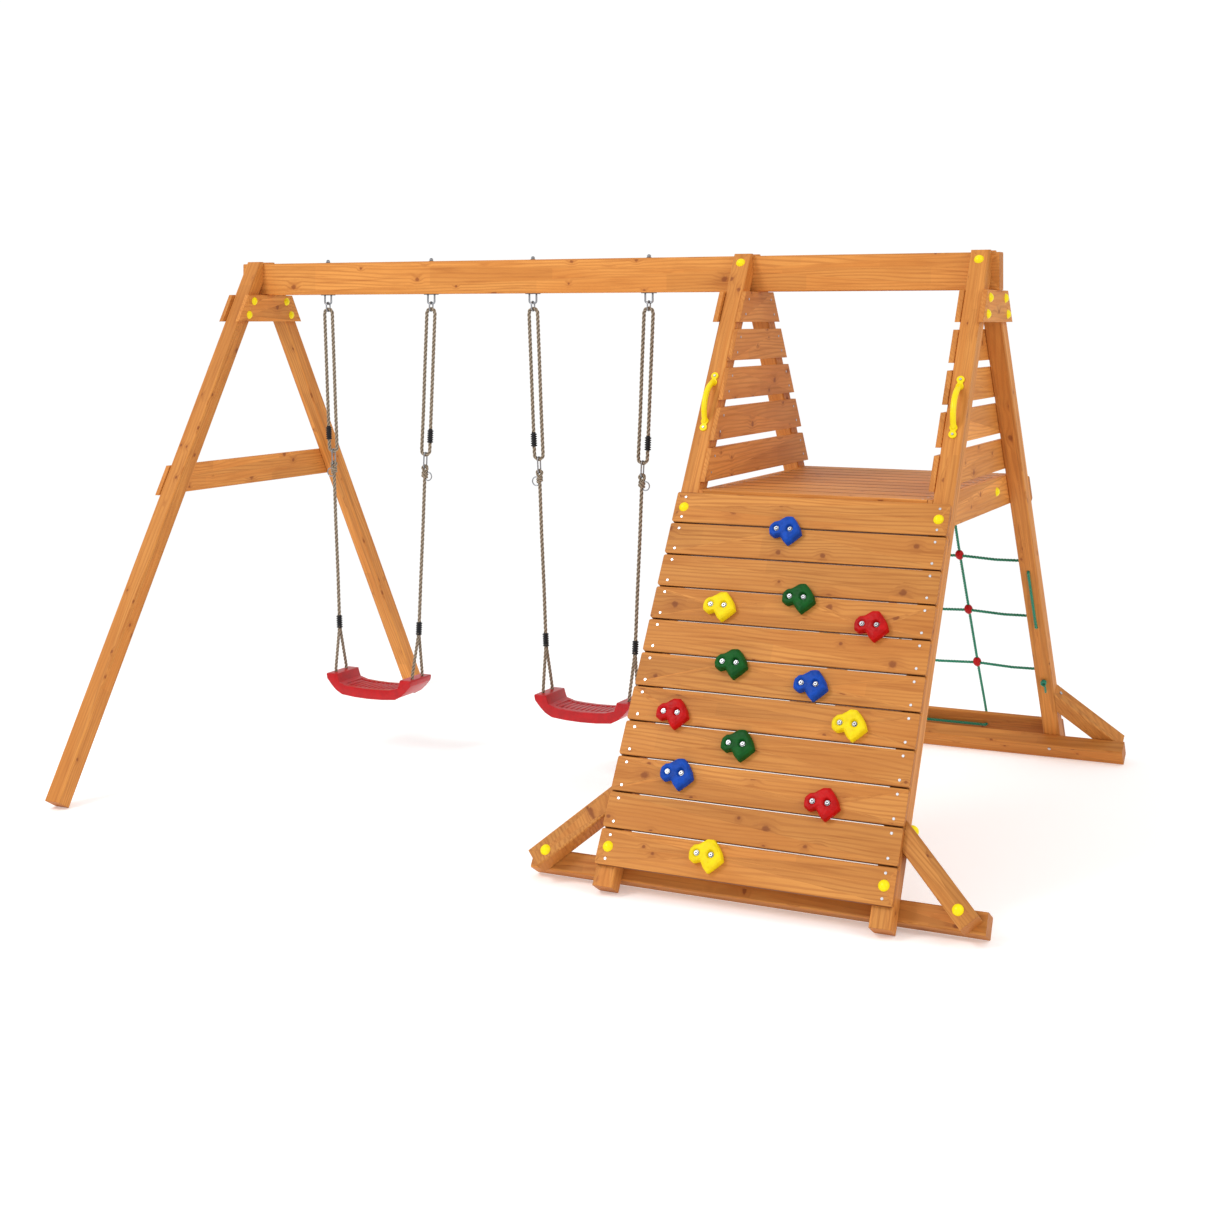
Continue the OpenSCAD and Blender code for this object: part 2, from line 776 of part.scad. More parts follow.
// Half of the seat's side outline, from the middle of the top round the end to the bottom
seat_half = [[0, -52], [110, -47], [148, -36], [160, 0], [213, 0], [215, -6], [211, -24],
    [165, -71], [134, -87], [0, -95]];
hollow_half = [[0, -58], [112, -53], [152, -42], [166, -8], [209, -8], [208, -21], [162, -68],
    [140, -105], [0, -105]];

function both_halves(h) = concat(h, [for (i = [len(h) - 2 : -1 : 1]) [-h[i].x, h[i].y]]);

module seat(x)
    color("crimson") translate([x, 0, seat_top]) difference() {
        rotate([90, 0, 0]) linear_extrude(170, center = true) polygon(both_halves(seat_half));
        rotate([90, 0, 0]) linear_extrude(158, center = true) polygon(both_halves(hollow_half));
        for (sx = [-1, 1], sy = [-1, 1]) translate([sx * seat_hole_x, sy * seat_hole_y, -20])
            cylinder(d = rope_d + 2.5, h = 40);
    }

module swing_1_links() color("silver") hangers(swing_1_x) hanger_links();
module swing_1_ropes() color("tan") hangers(swing_1_x) hanger_rope();
module swing_1_sleeves() color("dimgray") hangers(swing_1_x) hanger_sleeves();
module swing_1_seat() seat(swing_1_x);
module swing_2_links() color("silver") hangers(swing_2_x) hanger_links();
module swing_2_ropes() color("tan") hangers(swing_2_x) hanger_rope();
module swing_2_sleeves() color("dimgray") hangers(swing_2_x) hanger_sleeves();
module swing_2_seat() seat(swing_2_x);

beam();
leg_a_front();
leg_a_rear();
leg_b_front();
leg_b_rear();
leg_c_front();
leg_c_rear();
collar_a_inner();
collar_a_outer();
tie_a();
collar_b();
collar_c();
rail_b();
rail_c();
bearer_b();
bearer_c();
sill_front();
sill_rear();
brace_front_left();
brace_front_right();
brace_rear_left();
brace_rear_right();
rear_plank_top();
rear_plank_bottom();
wall_plank(1);  // wall_plank_1
wall_plank(2);  // wall_plank_2
wall_plank(3);  // wall_plank_3
wall_plank(4);  // wall_plank_4
wall_plank(5);  // wall_plank_5
wall_plank(6);  // wall_plank_6
wall_plank(7);  // wall_plank_7
wall_plank(8);  // wall_plank_8
wall_plank(9);  // wall_plank_9
wall_plank(10);  // wall_plank_10
wall_plank(11);  // wall_plank_11
fence_b();
fence_c();
deck_boards();
holds_blue();
holds_green();
holds_yellow();
holds_red();
hold_bolts();
hold_nuts();
handles();
wood_screws();
coach_screws();
screw_caps();
net_rope_across();
net_rope_up();
net_balls();
swing_hooks();
swing_1_links();
swing_1_ropes();
swing_1_sleeves();
swing_1_seat();
swing_2_links();
swing_2_ropes();
swing_2_sleeves();
swing_2_seat();
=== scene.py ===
"""A wooden play frame with a climbing wall, a net and two swings, dressed around its CAD frame."""
import math
import random

import bmesh
import bpy
import numpy as np
from mathutils import Matrix, Vector, noise


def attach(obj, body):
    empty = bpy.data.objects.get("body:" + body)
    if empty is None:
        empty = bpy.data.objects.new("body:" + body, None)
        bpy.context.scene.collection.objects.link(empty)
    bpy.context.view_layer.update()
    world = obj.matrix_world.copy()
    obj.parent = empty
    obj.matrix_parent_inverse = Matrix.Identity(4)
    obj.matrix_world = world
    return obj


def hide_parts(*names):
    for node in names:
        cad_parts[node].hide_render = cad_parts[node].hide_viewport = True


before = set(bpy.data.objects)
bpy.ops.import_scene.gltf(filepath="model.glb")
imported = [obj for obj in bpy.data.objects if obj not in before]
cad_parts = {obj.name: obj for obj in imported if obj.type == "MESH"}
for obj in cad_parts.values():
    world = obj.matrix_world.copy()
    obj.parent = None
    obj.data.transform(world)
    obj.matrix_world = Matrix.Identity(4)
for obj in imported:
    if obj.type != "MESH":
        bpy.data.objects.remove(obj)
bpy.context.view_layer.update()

# The object's own sizes and places are in millimetres. The camera, the lamps, the floor, the
# materials and the ropes' thickness and twist are in metres
MM = 0.001
# The legs' lean, and where their outer faces meet the beam's underside
LEAN = math.radians(31)
LEG_OUT = 143.4
BEAM_UNDER = 1990.0
# The wall's left edge along the beam, its planks' thickness and its top edge down the slope
TOWER_LEFT = 553.0
PLANK_T = 18.0
WALL_T0 = 866.0
# Brightness of the white room as a light and as it is seen, and of the floor's own glow
SKY_LIGHT, SKY_SEEN, FLOOR_GLOW = 0.80, 1.02, 0.27
# How far from the middle the floor starts to fade, where it has gone, and its half width
FLOOR_FADE = (2.2, 4.8)
FLOOR_HALF = 6


def slope_frame(rear=False):
    """A slope plane's matrix, in metres: X along the beam, +Y in from the legs, -Z downhill."""
    corner = Matrix.Translation((0, -LEG_OUT * MM, BEAM_UNDER * MM))
    plane = corner @ Matrix.Rotation(-LEAN, 4, "X")
    return Matrix.Diagonal((1, -1, 1, 1)) @ plane if rear else plane


# ---- camera, light and floor ----------------------------------------------------------------

def linked(name, data):
    """A new object in the scene."""
    thing = bpy.data.objects.new(name, data)
    bpy.context.scene.collection.objects.link(thing)
    return thing


def make_camera():
    """The photo's own view, fitted to the frame's long straight edges."""
    data = bpy.data.cameras.new("camera")
    data.lens = 52.66
    data.sensor_width = 36
    data.shift_y = -0.2425
    data.clip_end = 100
    camera = linked("camera", data)
    camera.location = (3.114, -6.528, 1.884)
    camera.rotation_euler = (math.radians(90.2), 0, math.radians(25.68))
    bpy.context.scene.camera = camera


def area_light(name, place, target, size, power):
    data = bpy.data.lights.new(name, "AREA")
    data.shape = "DISK"
    data.size = size
    data.energy = power
    lamp = linked(name, data)
    lamp.location = place
    lamp.rotation_euler = (Vector(target) - Vector(place)).to_track_quat("-Z", "Y").to_euler()


def make_studio():
    """A white room whose sky lights the object less than it shows behind it, and two soft lamps."""
    world = bpy.data.worlds.new("studio")
    world.use_nodes = True
    tree = world.node_tree
    sky = tree.nodes["Background"]
    sky.inputs["Color"].default_value = (1.0, 1.0, 1.0, 1)
    seen = tree.nodes.new("ShaderNodeMapRange")
    path = tree.nodes.new("ShaderNodeLightPath")
    tree.links.new(path.outputs["Is Camera Ray"], seen.inputs["Value"])
    seen.inputs["To Min"].default_value = SKY_LIGHT
    seen.inputs["To Max"].default_value = SKY_SEEN
    tree.links.new(seen.outputs[0], sky.inputs["Strength"])
    bpy.context.scene.world = world
    area_light("key", (-3.5, -6.0, 6.5), (0, 0, 0.8), 3.0, 260)
    area_light("fill", (6.5, -3.0, 4.0), (0.5, 0, 1.0), 4.0, 90)
    bpy.context.scene.view_settings.view_transform = "Standard"
    bpy.context.scene.view_settings.look = "None"


def floor_material():
    """Pale studio floor that fades out into the white room away from the object."""
    s = Shader("floor")
    place = s.node("TexCoord").outputs["Object"]
    tint = s.step(s.noise(place, 0.8), 0.2, 0.8, 0.0, 0.03)
    s.put(s.bsdf.inputs["Base Color"], s.mix(tint, (0.95, 0.95, 0.95), (0.9, 0.9, 0.9)))
    s.bsdf.inputs["Roughness"].default_value = 0.7
    s.bsdf.inputs["Specular IOR Level"].default_value = 0.2
    s.bsdf.inputs["Emission Color"].default_value = (1.0, 1.0, 1.0, 1)
    s.bsdf.inputs["Emission Strength"].default_value = FLOOR_GLOW
    s.put(s.bsdf.inputs["Alpha"], s.step(s.vector("LENGTH", place), *FLOOR_FADE, 1.0, 0.0))
    return s.material


def make_floor():
    mesh = bpy.data.meshes.new("floor")
    signs = ((-1, -1), (1, -1), (1, 1), (-1, 1))
    corners = [(x * FLOOR_HALF, y * FLOOR_HALF, 0) for x, y in signs]
    mesh.from_pydata(corners, [], [(0, 1, 2, 3)])
    floor = linked("floor", mesh)
    floor.data.materials.append(floor_material())


# ---- node helpers ---------------------------------------------------------------------------

class Shader:
    """A short way to build a material's nodes."""

    def __init__(self, name):
        self.material = bpy.data.materials.new(name)
        self.material.use_nodes = True
        self.tree = self.material.node_tree
        self.bsdf = self.tree.nodes["Principled BSDF"]

    def node(self, kind, settings=None, **inputs):
        """A new node; an input is named, or i0, i1 and so on by its number."""
        made = self.tree.nodes.new("ShaderNode" + kind)
        for key, value in (settings or {}).items():
            setattr(made, key, value)
        for key, value in inputs.items():
            by_number = key[0] == "i" and key[1:].isdigit()
            self.put(made.inputs[int(key[1:]) if by_number else key], value)
        return made

    def put(self, socket, value):
        if isinstance(value, bpy.types.NodeSocket):
            self.tree.links.new(value, socket)
        else:
            socket.default_value = value

    def math(self, operation, a, b=0.0):
        return self.node("Math", {"operation": operation}, i0=a, i1=b).outputs[0]

    def vector(self, operation, a, b=(0, 0, 0)):
        made = self.node("VectorMath", {"operation": operation}, i0=a, i1=b)
        return made.outputs["Value"] if operation in ("DOT_PRODUCT", "LENGTH") else made.outputs[0]

    def combine(self, x, y, z):
        return self.node("CombineXYZ", None, X=x, Y=y, Z=z).outputs[0]

    def noise(self, vector, scale, detail=3.0, roughness=0.55):
        return self.node("TexNoise", None, Vector=vector, Scale=scale, Detail=detail,
                         Roughness=roughness).outputs["Fac"]

    def step(self, value, low, high, out_low=0.0, out_high=1.0):
        """A smooth change from out_low to out_high as the value goes from low to high."""
        made = self.node("MapRange", {"interpolation_type": "SMOOTHSTEP"}, Value=value)
        limits = {"From Min": low, "From Max": high, "To Min": out_low, "To Max": out_high}
        for key, number in limits.items():
            made.inputs[key].default_value = number
        return made.outputs[0]

    def mix(self, factor, a, b, blend="MIX"):
        made = self.node("Mix", {"data_type": "RGBA", "blend_type": blend})
        self.put(made.inputs[0], factor)
        for socket, value in ((made.inputs[6], a), (made.inputs[7], b)):
            self.put(socket, (*value, 1) if isinstance(value, tuple) and len(value) == 3 else value)
        return made.outputs[2]

    def bump(self, height, strength, distance, normal=None):
        made = self.node("Bump", None, Height=height, Strength=strength, Distance=distance)
        if normal is not None:
            self.put(made.inputs["Normal"], normal)
        return made.outputs[0]


# ---- materials ------------------------------------------------------------------------------

WOOD_PALE = (0.66, 0.275, 0.060)
WOOD_MID = (0.56, 0.205, 0.038)
WOOD_DARK = (0.34, 0.095, 0.015)
WOOD_KNOT = (0.25, 0.066, 0.013)
# Painted shade for the gap between one board and the next
WOOD_GAP_SHADE = (0.12, 0.030, 0.010)
# How far timber edges look rounded, a height between the wall's free top edge and its first gap
# (above it no gap shade is painted), and the distance from one deck board to the next
SOFT_EDGE = 0.0025
WALL_EDGE_TOP = 1.20
DECK_PITCH = 0.117


def wood_knots(s, place, u, across):
    """The knots and the soft halo round each: one in some cells of a loose grid over each face."""
    cell = s.combine(s.math("MULTIPLY", u, 6.0), s.math("MULTIPLY", across, 7.0), 0.0)
    cells = s.node("TexVoronoi", {"voronoi_dimensions": "2D"}, Vector=cell, Scale=1.0,
                   Randomness=1.0)
    luck = s.node("SeparateColor", None, i0=cells.outputs["Color"])
    chosen = s.step(luck.outputs[0], 0.38, 0.40)
    size = s.step(luck.outputs[1], 0.0, 1.0, 0.9, 2.2)
    ragged = s.math("MULTIPLY", s.math("SUBTRACT", s.noise(place, 70, 2.0), 0.5), 0.09)
    far = s.math("ADD", s.math("MULTIPLY", cells.outputs["Distance"], size), ragged)
    knot = s.math("MULTIPLY", s.step(far, 0.04, 0.10, 1.0, 0.0), chosen)
    halo = s.math("MULTIPLY", s.step(far, 0.05, 0.34, 1.0, 0.0), chosen)
    return knot, halo


def growth_lines(s, u, v, w, halo):
    """Dark late wood in lines that run along the board, wander with it and bend round the knots."""
    slow = s.combine(s.math("MULTIPLY", u, 0.9), s.math("MULTIPLY", v, 6.0),
                     s.math("MULTIPLY", w, 6.0))
    wander = s.math("MULTIPLY", s.noise(slow, 1.0, 2.0), 7.0)
    lines = s.math("ADD", s.math("MULTIPLY", s.math("ADD", v, w), 62.0), wander)
    lines = s.math("ADD", lines, s.math("MULTIPLY", halo, 0.8))
    wave = s.math("SINE", s.math("MULTIPLY", lines, 2 * math.pi))
    return s.step(s.math("ADD", s.math("MULTIPLY", wave, 0.5), 0.5), 0.40, 1.0)


def wall_gap_shade(s, place, normal, side):
    """Painted shade on the planks' long edges where they meet, all but the free one at the wall's
    top.
    """
    edge = s.step(s.math("ABSOLUTE", s.vector("DOT_PRODUCT", normal, tuple(side))),
                  0.70, 0.97, 0.0, 0.8)
    height = s.node("SeparateXYZ", None, i0=place).outputs[2]
    return s.math("MULTIPLY", edge, s.step(height, WALL_EDGE_TOP - 0.02, WALL_EDGE_TOP, 1.0, 0.0))


def deck_gap_shade(s, place):
    """Painted shade in a thin line where one deck board meets the next, but not along the deck's
    outer edges.
    """
    across = s.node("SeparateXYZ", None, i0=place).outputs[1]
    turns = s.math("ADD", s.math("DIVIDE", across, DECK_PITCH), 0.5)
    off = s.math("ABSOLUTE", s.math("SUBTRACT", s.math("FRACT", turns), 0.5))
    inner = s.step(s.math("ABSOLUTE", across), 4.6 * DECK_PITCH, 4.7 * DECK_PITCH, 1.0, 0.0)
    return s.math("MULTIPLY", s.step(off, 0.036, 0.066, 0.9, 0.0), inner)


def wood_material(name, along, side, shade=1.0, gap_shade=None):
    """Stained pine whose grain runs along one direction, its boards' edges facing along side.

    The gap shade argument is "wall" or "deck", for painted shade on the edges where one board meets
    the next.
    """
    s = Shader(name)
    along = Vector(along).normalized()
    side = Vector(side).normalized()
    face = along.cross(side)
    place = s.node("TexCoord").outputs["Object"]
    island = s.node("NewGeometry").outputs["Random Per Island"]
    thing = s.node("ObjectInfo").outputs["Random"]
    odd = s.math("ADD", s.math("MULTIPLY", island, 37.7), s.math("MULTIPLY", thing, 91.3))
    u = s.math("ADD", s.vector("DOT_PRODUCT", place, tuple(along)), s.math("MULTIPLY", odd, 1.7))
    v = s.math("ADD", s.vector("DOT_PRODUCT", place, tuple(side)), s.math("MULTIPLY", odd, 0.31))
    w = s.math("ADD", s.vector("DOT_PRODUCT", place, tuple(face)), s.math("MULTIPLY", odd, 0.83))
    knot, halo = wood_knots(s, place, u, s.math("ADD", v, w))
    late = growth_lines(s, u, v, w, halo)

    # fine streaks and fibres along the grain, on slow patches of pale and dark
    long_grain = s.combine(s.math("MULTIPLY", u, 0.045), v, w)
    streak = s.noise(long_grain, 62, 4.0, 0.62)
    fibre = s.noise(s.combine(s.math("MULTIPLY", u, 0.03), v, w), 650, 2.0)
    cloud = s.combine(s.math("MULTIPLY", u, 1.6), s.math("MULTIPLY", v, 7),
                      s.math("MULTIPLY", w, 7))
    patch = s.noise(cloud, 1.0, 3.0)
    colour = s.mix(s.step(patch, 0.32, 0.68), WOOD_MID, WOOD_PALE)
    colour = s.mix(s.math("MULTIPLY", late, s.step(patch, 0.3, 0.7, 0.15, 0.42)), colour, WOOD_DARK)
    colour = s.mix(s.step(streak, 0.50, 0.74, 0.0, 0.50), colour, WOOD_DARK)
    colour = s.mix(s.step(fibre, 0.45, 0.8, 0.0, 0.20), colour, WOOD_DARK)
    colour = s.mix(s.math("MULTIPLY", halo, 0.30), colour, WOOD_DARK)
    colour = s.mix(s.math("MULTIPLY", knot, 0.85), colour, WOOD_KNOT)

    # each board, and each finger-jointed length in it, has a tone of its own
    length = s.math("ADD", s.math("MULTIPLY", u, 1.7), s.math("MULTIPLY", odd, 3.0))
    piece = s.node("TexWhiteNoise", {"noise_dimensions": "1D"},
                   W=s.math("FLOOR", length)).outputs["Value"]
    luck = s.math("FRACT", s.math("MULTIPLY", odd, 7.13))
    # Painted light and shade: the shade factor makes a whole part brighter where it catches more
    # light and darker where it lies in shade
    tone = s.step(luck, 0.0, 1.0, 0.90 * shade, 1.06 * shade)
    tone = s.math("MULTIPLY", tone, s.step(piece, 0.0, 1.0, 0.95, 1.05))
    colour = s.mix(1.0, colour, s.combine(tone, tone, tone), "MULTIPLY")

    # end grain is darker, and painted shade darkens the edges where one board meets the next
    normal = s.node("NewGeometry").outputs["Normal"]
    end = s.math("ABSOLUTE", s.vector("DOT_PRODUCT", normal, tuple(along)))
    colour = s.mix(s.step(end, 0.75, 0.95, 0.0, 0.45), colour, WOOD_DARK)
    # Painted shade on the board edges where wall planks meet, and where deck boards meet
    if gap_shade == "wall":
        colour = s.mix(wall_gap_shade(s, place, normal, side), colour, WOOD_GAP_SHADE)
    if gap_shade == "deck":
        colour = s.mix(deck_gap_shade(s, place), colour, WOOD_GAP_SHADE)
    s.put(s.bsdf.inputs["Base Color"], colour)
    s.put(s.bsdf.inputs["Roughness"], s.math("ADD", s.math("MULTIPLY", streak, 0.22), 0.45))
    s.bsdf.inputs["Specular IOR Level"].default_value = 0.25
    height = s.math("ADD", s.math("MULTIPLY", fibre, 0.5), s.math("MULTIPLY", late, 0.5))
    height = s.math("SUBTRACT", height, s.math("MULTIPLY", knot, 0.5))
    bevel = s.node("Bevel", {"samples": 4}, Radius=SOFT_EDGE).outputs[0]
    s.put(s.bsdf.inputs["Normal"], s.bump(height, 0.35, 0.0006, bevel))
    return s.material


def plastic_material(name, colour, roughness, mottle=0.12, grit=900, grit_depth=0.0002,
                     coat=0.0, shine=0.3):
    """Moulded plastic or cast resin: slight mottle, and fine surface grit that is paler where it
    stands high.
    """
    s = Shader(name)
    place = s.node("TexCoord").outputs["Object"]
    cloud = s.noise(place, 34, 4.0)
    fine = s.noise(place, grit, 2.0)
    dark = tuple(c * (1 - 3 * mottle) for c in colour)
    pale = tuple(min(1.0, c * (1 + mottle) + mottle * 0.04) for c in colour)
    tone = s.mix(s.step(cloud, 0.3, 0.7), dark, colour)
    tone = s.mix(s.step(fine, 0.5, 0.8, 0.0, 0.5), tone, pale)
    s.put(s.bsdf.inputs["Base Color"], tone)
    s.put(s.bsdf.inputs["Roughness"], s.step(cloud, 0.2, 0.8, roughness - 0.06, roughness + 0.08))
    s.bsdf.inputs["Specular IOR Level"].default_value = shine
    s.bsdf.inputs["Coat Weight"].default_value = coat
    s.bsdf.inputs["Coat Roughness"].default_value = 0.15
    s.put(s.bsdf.inputs["Normal"], s.bump(fine, 0.5, grit_depth))
    return s.material


def steel_material(name, colour, roughness):
    """Zinc-coated steel: soft spangle, fine rub marks and painted shade in recesses."""
    s = Shader(name)
    place = s.node("TexCoord").outputs["Object"]
    spangle = s.node("TexVoronoi", None, Vector=place, Scale=260.0).outputs["Distance"]
    rub = s.noise(place, 420, 3.0)
    tone = s.mix(s.step(spangle, 0.1, 0.7), colour, tuple(c * 0.72 for c in colour))
    # Painted shade: ambient occlusion darkens recesses, such as the bolts' hex sockets
    recess_shade_ao = s.node("AmbientOcclusion", {"samples": 8}, Distance=0.008).outputs["AO"]
    tone = s.mix(s.step(recess_shade_ao, 0.40, 0.95), tuple(c * 0.06 for c in colour), tone)
    s.put(s.bsdf.inputs["Base Color"], tone)
    s.bsdf.inputs["Metallic"].default_value = 1.0
    s.put(s.bsdf.inputs["Roughness"], s.step(rub, 0.25, 0.75, roughness - 0.08, roughness + 0.10))
    s.put(s.bsdf.inputs["Normal"], s.bump(rub, 0.3, 0.0002))
    return s.material


def rope_material(name, pale, dark, fleck=None):
    """Fibres along the strands, painted shade in the grooves between them, and stray flecks."""
    s = Shader(name)
    place = s.node("TexCoord").outputs["Object"]
    outward = s.node("Attribute", {"attribute_name": "outward"}).outputs["Fac"]
    fibre = s.noise(place, 900, 3.0)
    dirt = s.noise(place, 60, 4.0)
    tone = s.mix(s.step(fibre, 0.25, 0.75, 0.35, 1.0), dark, pale)
    tone = s.mix(s.step(dirt, 0.45, 0.75, 0.0, 0.35), tone, dark)
    # Painted shade: darker where a vertex lies deep in the groove between strands
    tone = s.mix(s.step(outward, 0.62, 0.93, 0.9, 0.0), tone, dark)
    if fleck:
        spots = s.node("TexVoronoi", None, Vector=place, Scale=170.0).outputs["Distance"]
        tone = s.mix(s.step(spots, 0.12, 0.2, 0.8, 0.0), tone, fleck)
    s.put(s.bsdf.inputs["Base Color"], tone)
    s.put(s.bsdf.inputs["Roughness"], s.step(fibre, 0.2, 0.8, 0.72, 0.92))
    s.bsdf.inputs["Sheen Weight"].default_value = 0.25
    s.put(s.bsdf.inputs["Normal"], s.bump(fibre, 0.6, 0.0005))
    return s.material


# Downhill along the front and the rear legs
DOWN_FRONT = (0, -math.sin(LEAN), -math.cos(LEAN))
DOWN_REAR = (0, math.sin(LEAN), -math.cos(LEAN))
# What the four hold colours share: coarse, deep grit and little shine
CAST_RESIN = {"grit": 600, "grit_depth": 0.0006, "shine": 0.18}


def make_materials():
    found = {
        # After the directions, each part's shade factor: painted light and shade that brightens or
        # darkens the part as a whole
        "wood_sill": wood_material("wood_sill", (1, 0, 0), (0, 0, 1), 0.93),
        "wood_wall": wood_material("wood_wall", (1, 0, 0), DOWN_FRONT, 0.96, "wall"),
        "wood_beam": wood_material("wood_beam", (1, 0, 0), (0, 0, 1), 1.16),
        "wood_deck": wood_material("wood_deck", (1, 0, 0), (0, 1, 0), 1.14, "deck"),
        "wood_y": wood_material("wood_y", (0, 1, 0), (0, 0, 1), 1.16),
        "wood_front": wood_material("wood_front", DOWN_FRONT, (1, 0, 0), 1.06),
        "wood_rear": wood_material("wood_rear", DOWN_REAR, (1, 0, 0), 1.06),
        "blue": plastic_material("blue", (0.003, 0.070, 0.46), 0.5, 0.12, **CAST_RESIN),
        "green": plastic_material("green", (0.002, 0.095, 0.010), 0.5, 0.12, **CAST_RESIN),
        "yellow": plastic_material("yellow", (0.95, 0.72, 0.006), 0.5, 0.06, **CAST_RESIN),
        "red": plastic_material("red", (0.56, 0.002, 0.003), 0.45, 0.10, **CAST_RESIN),
        "cap": plastic_material("cap", (0.98, 0.80, 0.002), 0.35, 0.03, 1500, 0.00005,
                                coat=0.08, shine=0.2),
        "handle": plastic_material("handle", (0.96, 0.74, 0.003), 0.33, 0.03, 1500, 0.00005,
                                   coat=0.1, shine=0.25),
        "ball": plastic_material("ball", (0.48, 0.003, 0.005), 0.35, 0.08, 1200, 0.0001,
                                 shine=0.2),
        "seat": plastic_material("seat", (0.52, 0.002, 0.006), 0.33, 0.07, 1400, 0.00012,
                                 coat=0.12),
        "sleeve": plastic_material("sleeve", (0.012, 0.012, 0.014), 0.55, 0.1, 900, 0.0003),
        "zinc": steel_material("zinc", (0.66, 0.67, 0.70), 0.35),
        "galvanised": steel_material("galvanised", (0.42, 0.44, 0.47), 0.34),
        "rope": rope_material("rope", (0.46, 0.36, 0.25), (0.085, 0.062, 0.040)),
        "net": rope_material("net", (0.015, 0.36, 0.20), (0.004, 0.13, 0.07),
                             (0.40, 0.55, 0.42)),
    }
    for face, down in (("front", DOWN_FRONT), ("rear", DOWN_REAR)):
        for hand, outward in (("left", -1), ("right", 1)):
            name = "wood_brace_%s_%s" % (face, hand)
            along = Vector(down) + Vector((outward, 0, 0))
            # The braces' lower factor is painted shade
            found[name] = wood_material(name, along, (0.6, 0.5, 0.5), 0.86)
    return found


# The material of each CAD node, by how its name starts or ends
NAME_STARTS = {
    "beam": "wood_beam", "wall_plank": "wood_wall", "rear_plank": "wood_sill",
    "sill_": "wood_sill", "deck": "wood_deck", "collar": "wood_y", "tie": "wood_y",
    "rail": "wood_y", "fence": "wood_y", "bearer": "wood_y", "hold_": "zinc",
    "wood_screws": "zinc", "coach": "zinc", "screw_caps": "cap", "handles": "handle",
    "net_balls": "ball", "net_rope": "net", "swing_hooks": "galvanised",
}
NAME_ENDS = {"_links": "galvanised", "_ropes": "rope", "_sleeves": "sleeve", "_seat": "seat"}


def cad_material(node):
    """The material that a carried-over CAD node takes."""
    if node.startswith("leg_"):
        return "wood_rear" if node.endswith("rear") else "wood_front"
    if node.startswith("brace_"):
        return "wood_" + node
    for start, material in NAME_STARTS.items():
        if node.startswith(start):
            return material
    for end, material in NAME_ENDS.items():
        if node.endswith(end):
            return material
    return node.split("_")[1]


def dress_cad():
    """Gives every carried-over CAD node its material."""
    for node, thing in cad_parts.items():
        thing.data.materials.clear()
        thing.data.materials.append(MATERIALS[cad_material(node)])


# ---- mesh helpers ---------------------------------------------------------------------------

def add_piece(name, mesh, material, body, replaced):
    """A finished piece on a body, in place of a CAD node."""
    piece = linked(name, mesh)
    mesh.materials.append(MATERIALS[material])
    mesh.polygons.foreach_set("use_smooth", [True] * len(mesh.polygons))
    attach(piece, body)
    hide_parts(*replaced)


def resample(points, step):
    """Points a fixed step apart along a polyline, and how far along it each one lies."""
    points = np.array(points, float)
    lengths = np.r_[0, np.cumsum(np.linalg.norm(np.diff(points, axis=0), axis=1))]
    count = max(2, int(round(lengths[-1] / step)) + 1)
    stations = np.linspace(0, lengths[-1], count)
    return np.stack([np.interp(stations, lengths, points[:, k]) for k in range(3)], 1), stations


def path_frames(points):
    """Two directions square to the path at each point, carried along without twist."""
    tangents = np.gradient(points, axis=0)
    tangents /= np.linalg.norm(tangents, axis=1)[:, None]
    start = np.cross(tangents[0], (0.31, 0.87, 0.39))
    normals = [start / np.linalg.norm(start)]
    for t in tangents[1:]:
        n = normals[-1] - t * np.dot(normals[-1], t)
        normals.append(n / np.linalg.norm(n))
    normals = np.array(normals)
    return normals, np.cross(tangents, normals)


def rounded(points, radius, steps=5):
    """The polyline with its corners rounded."""
    points = [np.array(p, float) for p in points]
    out = [points[0]]
    for before, corner, after in zip(points, points[1:], points[2:]):
        into, away = corner - before, after - corner
        r = min(radius, np.linalg.norm(into) / 2.1, np.linalg.norm(away) / 2.1)
        a = corner - into / np.linalg.norm(into) * r
        b = corner + away / np.linalg.norm(away) * r
        for k in range(steps + 1):
            f = k / steps
            out.append((1 - f) ** 2 * a + 2 * f * (1 - f) * corner + f * f * b)
    return out + [points[-1]]


# A laid rope has three strands, each of this part of the rope's diameter in radius. Each strand
# is a tube with this many sides and a ring every so many metres
STRANDS, STRAND_PART, STRAND_SIDES, STRAND_STEP = 3, 0.245, 10, 0.0035


def laid_rope(verts, faces, outward, points, diameter, lay, phase):
    """Adds a rope of twisted strands along a path, and how far out each vertex stands."""
    centres, stations = resample(points, STRAND_STEP)
    normals, sideways = path_frames(centres)
    strand_r = diameter * STRAND_PART
    offset = diameter / 2 - strand_r
    for k in range(STRANDS):
        angle = phase + 2 * math.pi * (k / STRANDS + stations / lay)
        out = np.cos(angle)[:, None] * normals + np.sin(angle)[:, None] * sideways
        middle = centres + offset * out
        first = len(verts)
        for c, m, n, b in zip(centres, middle, normals, sideways):
            for j in range(STRAND_SIDES):
                a = 2 * math.pi * j / STRAND_SIDES
                spot = m + strand_r * (math.cos(a) * n + math.sin(a) * b)
                verts.append(tuple(spot))
                outward.append(float(np.linalg.norm(spot - c)) / (diameter / 2))
        last = first + (len(middle) - 1) * STRAND_SIDES
        for ring in range(first, last, STRAND_SIDES):
            for j in range(STRAND_SIDES):
                a, b = ring + j, ring + (j + 1) % STRAND_SIDES
                faces.append((a, b, b + STRAND_SIDES, a + STRAND_SIDES))
        faces.append(tuple(first + j for j in reversed(range(STRAND_SIDES))))
        faces.append(tuple(last + j for j in range(STRAND_SIDES)))


